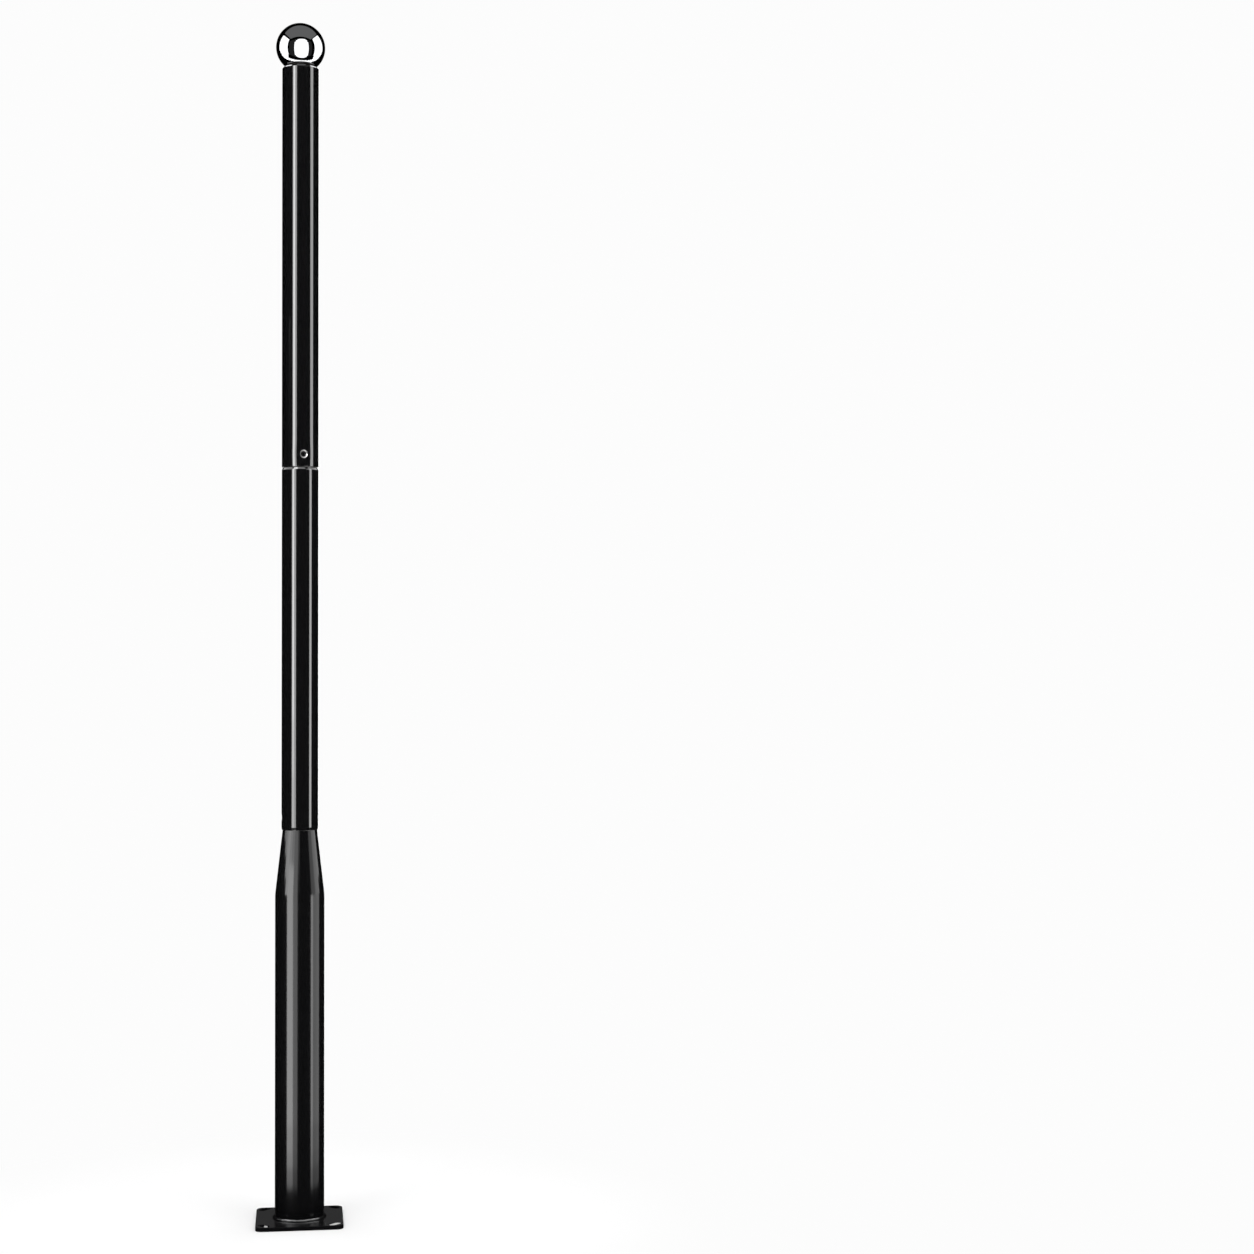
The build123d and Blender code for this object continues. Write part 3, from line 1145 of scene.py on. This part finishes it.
@dataclass
class Finial:
    """The polished ball and the cap that it stands on."""

    ball_wall: float = 1.2 * MM
    outer_steps: int = 150
    inner_steps: int = 40
    cap_edge: float = 0.6 * MM
    cap_thickness: float = 2.5 * MM
    skirt_radius: float = 34.8 * MM
    skirt_wall: float = 2 * MM
    columns: int = 256

    def ball(self) -> Thing:
        """A hollow ball cut flat at its seat: an outer arc from the pole down, and an inner arc back up.

        On an arc of radius R round the centre a point lies R sin(t) from the axis and R cos(t) above the
        centre, and the arc ends where that height is the seat's.

        Returns:
            The ball.
        """
        low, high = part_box("finial_ball")
        radius = high.x
        centre, seat = high.z - radius, low.z
        arcs = []
        for shell, steps in ((radius, self.outer_steps), (radius - self.ball_wall, self.inner_steps)):
            swing = np.linspace(0, np.arccos((seat - centre) / shell), steps)
            arcs.append(np.column_stack([shell * np.sin(swing), centre + shell * np.cos(swing)]))
        skin = Skin("polished_ball")
        skin.add(turned(np.concatenate([arcs[0], arcs[1][::-1]]), self.columns))
        return skin.make()

    def cap(self) -> Thing:
        """The disc with its eased edge, and the skirt below it.

        Returns:
            The cap.
        """
        low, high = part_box("finial_cap")
        top, radius, skirt_low = high.z, high.x, low.z
        under, inner = top - self.cap_thickness, self.skirt_radius - self.skirt_wall
        corners = [
            (0.0, top, 0.0),
            (radius, top, self.cap_edge),
            (radius, under, 0.2 * MM),
            (self.skirt_radius, under, 0.2 * MM),
            (self.skirt_radius, skirt_low, 0.3 * MM),
            (inner, skirt_low, 0.3 * MM),
            (inner, under, 0.2 * MM),
            (0.0, under, 0.0),
        ]
        outline = soften(corners, closed=False)
        # The cap's top inside its eased edge is marked for painted shade round the ball's seat.
        hair = 0.01 * MM
        shaded_cap_top = (outline[:, 1] > top - hair) & (outline[:, 0] < radius - self.cap_edge)
        skin = Skin("ball_cap")
        skin.add(turned(outline, self.columns), shaded_cap_top.astype(float)[:, None])
        return skin.make()

    def build(self, shop: Workshop) -> None:
        """Make the ball and the cap."""
        shop.fit(self.ball(), Slot.STAINLESS, "finial_ball", Set.BALL)
        shop.fit(self.cap(), Slot.STAINLESS, "finial_cap", Set.CAP)


def hang_lamp(name: str, size: Sequence[float], radiance: float, pose: Matrix, shown: object = None) -> Thing:
    """Hang a rectangular lamp that the camera doesn't see. Its power is 4 times its area times its radiance.

    Args:
        name: The lamp's name.
        size: Its two sides.
        radiance: Its brightness.
        pose: Its place and turn; it shines along its own -Z.
        shown: The set in whose reflections alone it shows. Without one it lights all and shows in none.

    Returns:
        The lamp.
    """
    lamp = bpy.data.lights.new(name, "AREA")
    lamp.shape = "RECTANGLE"
    lamp.size, lamp.size_y = size
    lamp.energy = 4 * size[0] * size[1] * radiance
    hung = put(bpy.data.objects.new(name, lamp))
    hung.matrix_world = pose
    hung.visible_camera = False
    hung.visible_diffuse = shown is None
    hung.visible_glossy = shown is not None
    hung.light_linking.receiver_collection = shown
    return hung


def turned_pose(away: float, turn: float, height: float, tilt: float) -> Matrix:
    """A place so far from the axis at a turn round the pole, tilted from facing down; angles in radians."""
    place = (away * np.sin(turn), -away * np.cos(turn), height)
    return Matrix.Translation(place) @ Euler((tilt, 0, turn)).to_matrix().to_4x4()


def aimed_pose(place: Spot, aim: Spot) -> Matrix:
    """A place, and the turn that points a lamp from there at its aim."""
    turn = (Vector(aim) - Vector(place)).to_track_quat("-Z", "Y")
    return Matrix.Translation(place) @ turn.to_matrix().to_4x4()


@dataclass(frozen=True)
class Fill:
    """A broad soft lamp that gives plain light and shows in no reflection."""

    name: str
    place: Spot
    size: Pair
    aim: Spot
    radiance: float

    def hang(self, shop: Workshop) -> None:
        """Hang the lamp and turn it to its aim."""
        hang_lamp(self.name, self.size, self.radiance, aimed_pose(self.place, self.aim))


@dataclass(frozen=True)
class Strip:
    """An upright lamp that shows only in the reflections of one set: a vertical streak along a tube."""

    kind: Set
    name: str
    turns: Pair
    heights: Pair
    distance: float
    radiance: float

    def faded(self, ends: Sequence[Pair]) -> list["Strip"]:
        """Share its brightness out over strips that start at different heights, so that its foot fades.

        They hang one behind the other, because lamps in one plane hide each other.

        Args:
            ends: (lower end, share of the brightness) of each.

        Returns:
            The strips.
        """
        apart = 2 * MM
        return [
            replace(
                self,
                name=f"{self.name}_{i}",
                heights=(low, self.heights[1]),
                distance=self.distance + i * apart,
                radiance=self.radiance * share,
            )
            for i, (low, share) in enumerate(ends)
        ]

    def hang(self, shop: Workshop) -> None:
        """Hang the lamp so that it spans its turns, counted from the camera's side towards +X.

        Args:
            shop: Holds the finishes and the sets of pieces.
        """
        middle, width = spanned(self.turns, self.distance)
        low, high = self.heights
        pose = turned_pose(self.distance, middle, (low + high) / 2, np.pi / 2)
        hang_lamp(self.name, (width, high - low), self.radiance, pose, shop.sets[self.kind])


@dataclass(frozen=True)
class Runner:
    """Lamps on the floor in a wedge that points at the pole: they carry a streak on, seen from above."""

    kind: Set
    name: str
    turns: Pair
    radiance: float
    reach: Pair = (0.3, 3.3)
    height: float = 0.03
    steps: int = 8

    def hang(self, shop: Workshop) -> None:
        """Lay the lamps end to end from near to far, each as wide as the wedge is there.

        Args:
            shop: Holds the finishes and the sets of pieces.
        """
        ends = np.geomspace(*self.reach, self.steps + 1)
        for i, (near, far) in enumerate(zip(ends[:-1], ends[1:])):
            away = (near + far) / 2
            middle, width = spanned(self.turns, away)
            pose = turned_pose(away, middle, self.height, np.pi)
            hang_lamp(f"{self.name}_{i}", (width, far - near), self.radiance, pose, shop.sets[self.kind])


def spanned(turns: Pair, distance: float) -> Pair:
    """The middle of two turns, in radians, and how wide a lamp is that spans them at a distance."""
    return np.radians(sum(turns) / 2), 2 * distance * np.tan(np.radians(abs(turns[1] - turns[0]) / 2))


@dataclass(frozen=True)
class Gridded:
    """A small lamp behind a honeycomb grid: it shows in the reflections of one set, and only near its aim.

    At an angle a off its axis a grid that opens to s passes the share 1 - tan(a) / tan(s / 2). Blender keeps
    the lamp's power for all openings, so it is cut by 1 - (s / 2) / tan(s / 2) for the stated radiance.
    """

    kind: Set
    name: str
    place: Spot
    size: Pair
    aim: Spot
    radiance: float
    opening: float = 34.0

    def hang(self, shop: Workshop) -> None:
        """Hang the lamp and turn it to its aim.

        Args:
            shop: Holds the finishes and the sets of pieces.
        """
        half = np.radians(self.opening / 2)
        radiance = self.radiance * (1 - half / np.tan(half))
        pose = aimed_pose(self.place, self.aim)
        hang_lamp(self.name, self.size, radiance, pose, shop.sets[self.kind]).data.spread = 2 * half


@dataclass(frozen=True)
class Lid:
    """A level lamp high over the pole that shows only in the reflections of one set."""

    kind: Set
    name: str
    across: Pair
    deep: Pair
    radiance: float
    height: float = 4.6

    def hang(self, shop: Workshop) -> None:
        """Hang the lamp over its stretch of X and of Y.

        Args:
            shop: Holds the finishes and the sets of pieces.
        """
        size = [high - low for low, high in (self.across, self.deep)]
        pose = Matrix.Translation((sum(self.across) / 2, sum(self.deep) / 2, self.height))
        hang_lamp(self.name, size, self.radiance, pose, shop.sets[self.kind])


@cache
def ball_room() -> tuple[Vector, dict[str, Vector]]:
    """The room that the ball mirrors, square to the line of sight.

    Returns:
        The ball's centre, and axes from it: right, towards the camera, and up.
    """
    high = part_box("finial_ball")[1]
    ball = Vector((0, 0, high.z - high.x))
    toward = (bpy.context.scene.camera.location - ball).normalized()
    right = toward.cross(Vector((0, 0, -1))).normalized()
    return ball, {"right": right, "toward": toward, "up": right.cross(-toward)}


@dataclass(frozen=True)
class Panel:
    """A flat lamp that shows only in the ball: a window of the room that the ball mirrors.

    It lies at a distance from the ball along one of the ball room's axes, or against it where the face starts
    with a minus sign, and spans two ranges along the others.
    """

    name: str
    face: str
    distance: float
    first: Pair
    second: Pair
    radiance: float

    def hang(self, shop: Workshop) -> None:
        """Hang the lamp so that it shines at the ball.

        Args:
            shop: Holds the finishes and the sets of pieces.
        """
        ball, room = ball_room()
        against = self.face.startswith("-")
        out = room[self.face.lstrip("-")] * (-1 if against else 1)
        one, two = (axis for name, axis in room.items() if name != self.face.lstrip("-"))
        place = ball + out * self.distance + one * (sum(self.first) / 2) + two * (sum(self.second) / 2)
        turn = Matrix((one, two if one.cross(two).dot(out) > 0 else -two, out)).transposed().to_4x4()
        size = [high - low for low, high in (self.first, self.second)]
        hang_lamp(self.name, size, self.radiance, Matrix.Translation(place) @ turn, shop.sets[Set.BALL])


def sliced_panels(
    name: str, face: str, stations: Sequence[Spot], radiance: float, slices: int = 12
) -> list[Panel]:
    """Panels side by side that make one window whose edges slope or curve.

    Args:
        name: The window's name.
        face: The axis on which it lies, as in Panel.
        stations: (place along the first range, low edge, high edge) at each bend of its edges.
        radiance: Its brightness.
        slices: How many panels it is made of.

    Returns:
        The panels.
    """
    places, low, high = np.array(stations).T
    ends = np.linspace(places[0], places[-1], slices + 1)
    middles = (ends[1:] + ends[:-1]) / 2
    across = zip(ends[:-1].tolist(), ends[1:].tolist())
    along = zip(np.interp(middles, places, low).tolist(), np.interp(middles, places, high).tolist())
    spans = enumerate(zip(across, along))
    return [Panel(f"{name}_{i}", face, 1.0, first, second, radiance) for i, (first, second) in spans]


def streak_lamps(screw: Spot) -> list[Strip | Runner | Gridded | Lid]:
    """The lamps whose reflections are the streaks on the coat, and the glow in the upper screw's countersink.

    A tube shows a strip at twice the angle whose sine is the spot's distance from its middle, in radii.

    Args:
        screw: The middle of the upper front screw's countersink.

    Returns:
        The lamps.
    """
    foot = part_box("finial_ball")[0].z
    ring, tall, near = (foot + 0.05, foot + 0.45), (0.42, 3.2), 0.38
    crown, shaft, cone, cone_core = (2.3, 4.1), (0.0, 0.69), (0.69, 1.25), (0.785, 1.25)
    strips = {
        Set.TOP: (
            ("top_left", (-49.5, -23), tall, 2.2, 4.0),
            ("top_left_core", (-45, -34), tall, 2.0, 5.5),
            ("top_right", (64.5, 85.5), tall, 2.2, 3.7),
            ("top_back", (168, 180), tall, 2.2, 4.0),
        ),
        Set.MIDDLE: (
            ("middle_left", (-53, -26), tall, 2.2, 4.0),
            ("middle_right", (60, 75.5), tall, 2.2, 4.6),
            ("middle_back", (168, 180), tall, 2.2, 4.0),
            ("shoulder_left", (-140, -40), crown, 2.2, 1.8),
            ("shoulder_front", (-40, 40), (3.4, 5.4), 2.2, 2.0),
            ("shoulder_streak", (-52, -20), (3.2, 5.2), 2.2, 8.0),
            ("shoulder_right", (40, 140), crown, 2.2, 1.8),
        ),
        Set.BASE: (
            ("cone_left_edge", (-108, -92), (0.815, 1.25), near, 1.7),
            ("cone_left_far", (-92, -79), (0.79, 1.25), near, 2.6),
            ("cone_left", (-79, -69), (0.745, 1.25), near, 3.6),
            ("cone_left_near", (-69, -58), cone, near, 4.2),
            ("cone_left_core", (-58, -44), cone_core, near, 3.4),
            ("cone_left_inner", (-44, -30), cone_core, near, 2.6),
            ("cone_left_fade", (-30, -10), cone, near, 1.8),
            ("cone_front", (-10, -2), (0.93, 1.25), 1.5, 0.8),
            ("cone_right", (53, 74), cone, near, 1.0),
            ("cone_right_core", (74, 100), cone, near, 1.9),
            ("cone_right_edge", (100, 111), (0.73, 1.25), near, 1.9),
            ("base_back", (166, 180), (0.0, 1.25), near, 3.0),
        ),
        Set.PLATE: (("plate_glow", (150, 210), (0.1, 1.0), 2.0, 0.08),),
        Set.CAP: (("cap_left", (-118, -62), ring, 1.0, 1.1), ("cap_right", (68, 127), ring, 1.0, 1.1)),
    }
    base_feet = [(0.14, 0.18), (0.08, 0.12), (0.045, 0.25), (0.0, 0.45)]
    middle_feet = [(0.98, 0.35), (0.82, 0.3), (tall[0], 0.35)]
    fading = (
        (Strip(Set.MIDDLE, "middle_left_core", (-48.5, -38), tall, 2.0, 5.2), middle_feet),
        (Strip(Set.BASE, "base_left", (-58, -30), (0.0, 0.785), near, 5.0), base_feet),
        (Strip(Set.BASE, "base_left_fade", (-30, -10), shaft, near, 1.8), base_feet),
        (Strip(Set.BASE, "base_right", (50, 96), shaft, near, 1.65), base_feet),
        (Strip(Set.BASE, "base_right_core", (50, 60), shaft, near - 0.01, 2.0), base_feet),
    )
    below_foot = (0.3, 2.95)
    lamps = [Strip(kind, *row) for kind, rows in strips.items() for row in rows]
    for strip, feet in fading:
        lamps += strip.faded(feet)
    return lamps + [
        Runner(Set.TOP, "top_left_low", (-49.5, -23), 4.0),
        Runner(Set.TOP, "top_right_low", (64.5, 85.5), 3.7),
        Runner(Set.TOP, "top_back_low", (168, 180), 4.0),
        Runner(Set.MIDDLE, "middle_left_low", (-53, -26), 4.0, below_foot),
        Runner(Set.MIDDLE, "middle_right_low", (60, 75.5), 4.6, below_foot),
        Runner(Set.MIDDLE, "middle_back_low", (168, 180), 4.0, below_foot),
        Gridded(Set.TOP, "screw_glow", (-0.457, -0.203, 1.823), (0.26, 0.26), screw, 20.0),
        Lid(Set.TOP, "lid_over_top", (-2.7, 2.7), (-2.7, 2.7), 4.0),
        Lid(Set.WELD, "lid_over_weld", (-4.1, 4.1), (-0.46, 3.2), 6.0),
    ]


def ball_panels(white: float = 1.35) -> list[Panel]:
    """The windows of the room that the ball mirrors.

    Args:
        white: The brightness of the white ones.

    Returns:
        Their panels.
    """
    left = [(-0.48, -0.09), (-0.35, -0.30), (-0.22, -0.60), (-0.12, -0.72), (0.08, -0.92), (0.25, -0.85),
            (0.40, -0.62), (0.51, -0.50)]
    right = [(-0.60, -0.08), (-0.49, -0.29), (-0.39, -0.42), (-0.27, -0.67), (-0.18, -0.80), (0.0, -0.95),
             (0.20, -0.90), (0.34, -0.62), (0.40, -0.40)]
    front = [(-0.56, -0.60, 0.45), (-0.45, -0.80, 0.68), (-0.20, -0.95, 0.86), (0.0, -0.98, 0.90),
             (0.40, -1.00, 0.92), (0.58, -0.95, 0.84), (0.67, -0.88, 0.68), (0.75, -0.58, 0.42)]
    below = [(-1.35, -0.12, 0.20), (-1.06, 0.085, 0.42), (-0.72, 0.27, 0.54), (-0.35, 0.42, 0.62),
             (0.0, 0.50, 0.66), (0.35, 0.38, 0.60), (0.65, 0.14, 0.46), (1.2, -0.11, 0.25),
             (1.4, -0.20, 0.12)]
    panels = [
        Panel("ball_room", "toward", 1.05, (-1.5, 1.5), (-1.0, 0.9), 0.016),
        Panel("ball_above", "up", 1.0, (-1.15, 1.15), (-0.68, 0.76), 0.115),
        Panel("ball_above_back", "up", 1.0, (-1.15, 1.15), (-0.68, -0.45), 0.07),
        Panel("ball_behind", "-toward", 1.0, (-0.24, 0.24), (-0.3, 0.26), 0.6),
    ]
    windows = {
        "left": ("-right", [(*station, 0.70) for station in left]),
        "right": ("right", [(*station, 0.78) for station in right]),
        "front": ("toward", front),
        "below": ("-up", below),
    }
    for name, (face, stations) in windows.items():
        panels += sliced_panels(f"ball_{name}", face, stations, white)
    return panels


@dataclass
class Studio:
    """A white studio with black flags that only reflections see, soft lamps, and the photograph's camera."""

    screw: Spot
    distance: float = 5.0
    eye_height: float = 1.2
    lens: float = 68.07
    yaw: float = 7.85
    pitch: float = 0.43
    white: Colour = (0.975, 0.975, 0.975)
    floor_radius: float = 14.0
    floor_blend: Pair = (0.25, 0.9)
    floor_tones: Pair = (0.9, 0.91)
    floor_patch: float = 0.4
    floor_drop: float = 0.05 * MM
    floor_columns: int = 96
    flag_radius: float = 3.4
    flag_foot: float = 0.02 * MM
    flag_height: float = 5.5
    flag_patch: float = 0.5
    flag_tone: float = 0.001
    flag_columns: int = 64

    def camera(self) -> None:
        """Stand the camera in front of the pole, turned so that the pole falls left of the frame's middle."""
        data = bpy.data.cameras.new("photo_camera")
        data.sensor_width = 36.0
        data.lens = self.lens
        camera = put(bpy.data.objects.new("photo_camera", data))
        camera.location = (0, -self.distance, self.eye_height)
        camera.rotation_euler = Euler((np.radians(90 + self.pitch), 0, np.radians(-self.yaw)))
        bpy.context.scene.camera = camera

    def seen_straight(self, bench: NodeBench) -> Socket:
        """1 for rays from the camera, from a glossy surface or through a clear one, and else 0.

        Args:
            bench: Holds the tree that asks.

        Returns:
            The value.
        """
        path = bench.node("LightPath").outputs
        either = bench.math("MAXIMUM", path["Is Camera Ray"], path["Is Glossy Ray"])
        return bench.math("MAXIMUM", either, path["Is Transmission Ray"])

    def world(self) -> None:
        """A white world that lights nothing by itself: only straight, glossy and clear rays see it."""
        world = bpy.data.worlds.new("white_studio")
        world.use_nodes = True
        bench = NodeBench(world.node_tree)
        shade = bench.node("Background", {"Color": (*self.white, 1.0), "Strength": self.seen_straight(bench)})
        bench.node("OutputWorld", {"Surface": shade.outputs[0]})
        bpy.context.scene.world = world

    def floor(self) -> None:
        """A pale floor disc that keeps the pole's shadow near its foot and fades to the backdrop beyond."""
        bench = MaterialBench("studio_floor", Roughness=0.9, Specular_IOR_Level=0.0)
        grain = bench.effect(Effect.PATCHES, Size=self.floor_patch, Base=0.5, Spread=0.2)
        bench.feed(Base_Color=bench.blend(grain, *((tone,) * 3 for tone in self.floor_tones)))
        reach = bench.node("VectorMath", {0: bench.place}, operation="LENGTH").outputs["Value"]
        far = bench.ramp(reach, *self.floor_blend, interpolation_type="SMOOTHSTEP")
        glow = bench.node("Emission", {"Color": (*self.white, 1.0)}).outputs[0]
        share = bench.math("MULTIPLY", far, self.seen_straight(bench))
        mixed = bench.node("MixShader", {0: share, 1: bench.shader.outputs[0], 2: glow})
        bench.tree.links.new(mixed.outputs[0], bench.output.inputs["Surface"])
        rings = np.array([0.0, 0.2, 0.5, 1.0, 2.0, 5.0, self.floor_radius])
        outline = np.column_stack([rings, 0 * rings - self.floor_drop])
        self.stand("floor", outline, self.floor_columns, bench)

    def flags(self) -> None:
        """A black drum round the set, with a floor and a lid, that only reflections see."""
        bench = MaterialBench("black_flag", Roughness=1.0, Specular_IOR_Level=0.0)
        shade = bench.effect(Effect.PATCHES, Size=self.flag_patch, Base=0.5, Spread=0.5)
        bench.feed(Base_Color=bench.blend(shade, (0.0,) * 3, (self.flag_tone,) * 3))
        floor = [(share * self.flag_radius, self.flag_foot) for share in (0.0, 0.5, 1.0)]
        lid = [(share * self.flag_radius, self.flag_height) for share in (1.0, 0.5, 0.0)]
        flags = self.stand("black_flags", np.array(floor + lid), self.flag_columns, bench)
        for kind in ("camera", "diffuse", "transmission", "shadow", "volume_scatter"):
            setattr(flags, f"visible_{kind}", False)

    def stand(self, name: str, outline: Array, columns: int, bench: MaterialBench) -> Thing:
        """Turn a thing of the stage, dress it and keep it out of the object.

        Args:
            name: Its name.
            outline: Its (radius, height) points.
            columns: How many steps the circle has.
            bench: Holds its material.

        Returns:
            The thing.
        """
        skin = Skin(name)
        skin.add(turned(outline, columns))
        thing = skin.make()
        thing.data.materials.append(bench.material)
        return thing

    def lamps(self, shop: Workshop) -> None:
        """Hang the fill lamps, the streaks' lamps and the ball's panels.

        Args:
            shop: Holds the finishes and the sets of pieces.
        """
        fills = [
            Fill("fill_above", (0, 0, 4.5), (8, 8), (0, 0, 0), 1.75),
            Fill("fill_left", (-3.2, -3.6, 1.6), (3, 3), (0, 0, 1.2), 1.15),
            Fill("fill_right", (3.2, -3.6, 1.6), (3, 3), (0, 0, 1.2), 1.15),
        ]
        lamps = fills + streak_lamps(self.screw) + ball_panels()
        for lamp in lamps:
            lamp.hang(shop)
        log.info("%d lamps hung", len(lamps))

    def build(self, shop: Workshop) -> None:
        """Set the whole stage.

        Args:
            shop: Holds the finishes and the sets of pieces.
        """
        bpy.context.scene.view_settings.view_transform = "Standard"
        self.camera()
        self.world()
        self.floor()
        self.flags()
        self.lamps(shop)


def main() -> None:
    """Dress the pole from the ground up and set the stage."""
    logging.basicConfig(level=logging.INFO, format="%(name)s: %(message)s")
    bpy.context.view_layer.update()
    upper = UpperSections()
    mouths = tuple(hole.mouth() for hole in upper.upper_holes)
    satin = BlackCoat(
        "satin_black",
        (0.004, 0.004, 0.0045),
        (0.006, 0.006, 0.0065),
        roughness=0.13,
        spread=0.05,
        grain_size=0.9 * MM,
        grain_depth=0.006 * MM,
        wave_depth=0.05 * MM,
        dust=0.1,
        marked_roughness=0.6,
    )
    flange = replace(
        satin,
        name="satin_black_flange",
        roughness=0.25,
        spread=0.06,
        grain_depth=0.01 * MM,
        wave_depth=0.03 * MM,
        dust=0.03,
        # The flange's marked colour is a pale painted highlight on the two front slots' walls.
        marked_colour=(0.8, 0.8, 0.79),
        marked_roughness=0.7,
        marked_metal=False,
    )
    gloss = BlackCoat(
        "gloss_black",
        (0.005, 0.005, 0.0055),
        (0.007, 0.007, 0.0075),
        roughness=0.09,
        spread=0.03,
        grain_size=2.2 * MM,
        grain_depth=0.006 * MM,
        wave_depth=0.06 * MM,
        dust=0.03,
        clear=0.5,
        pressed=mouths,
    )
    steels = (PolishedStainless("mirror_stainless"), BlackenedSteel("blackened_screw_steel"))
    shop = Workshop(satin, flange, gloss, *steels)
    for part in (GroundFlange(), BaseSection(), upper, Finial(), Studio(mouths[0])):
        part.build(shop)


if __name__ == "__main__":
    main()
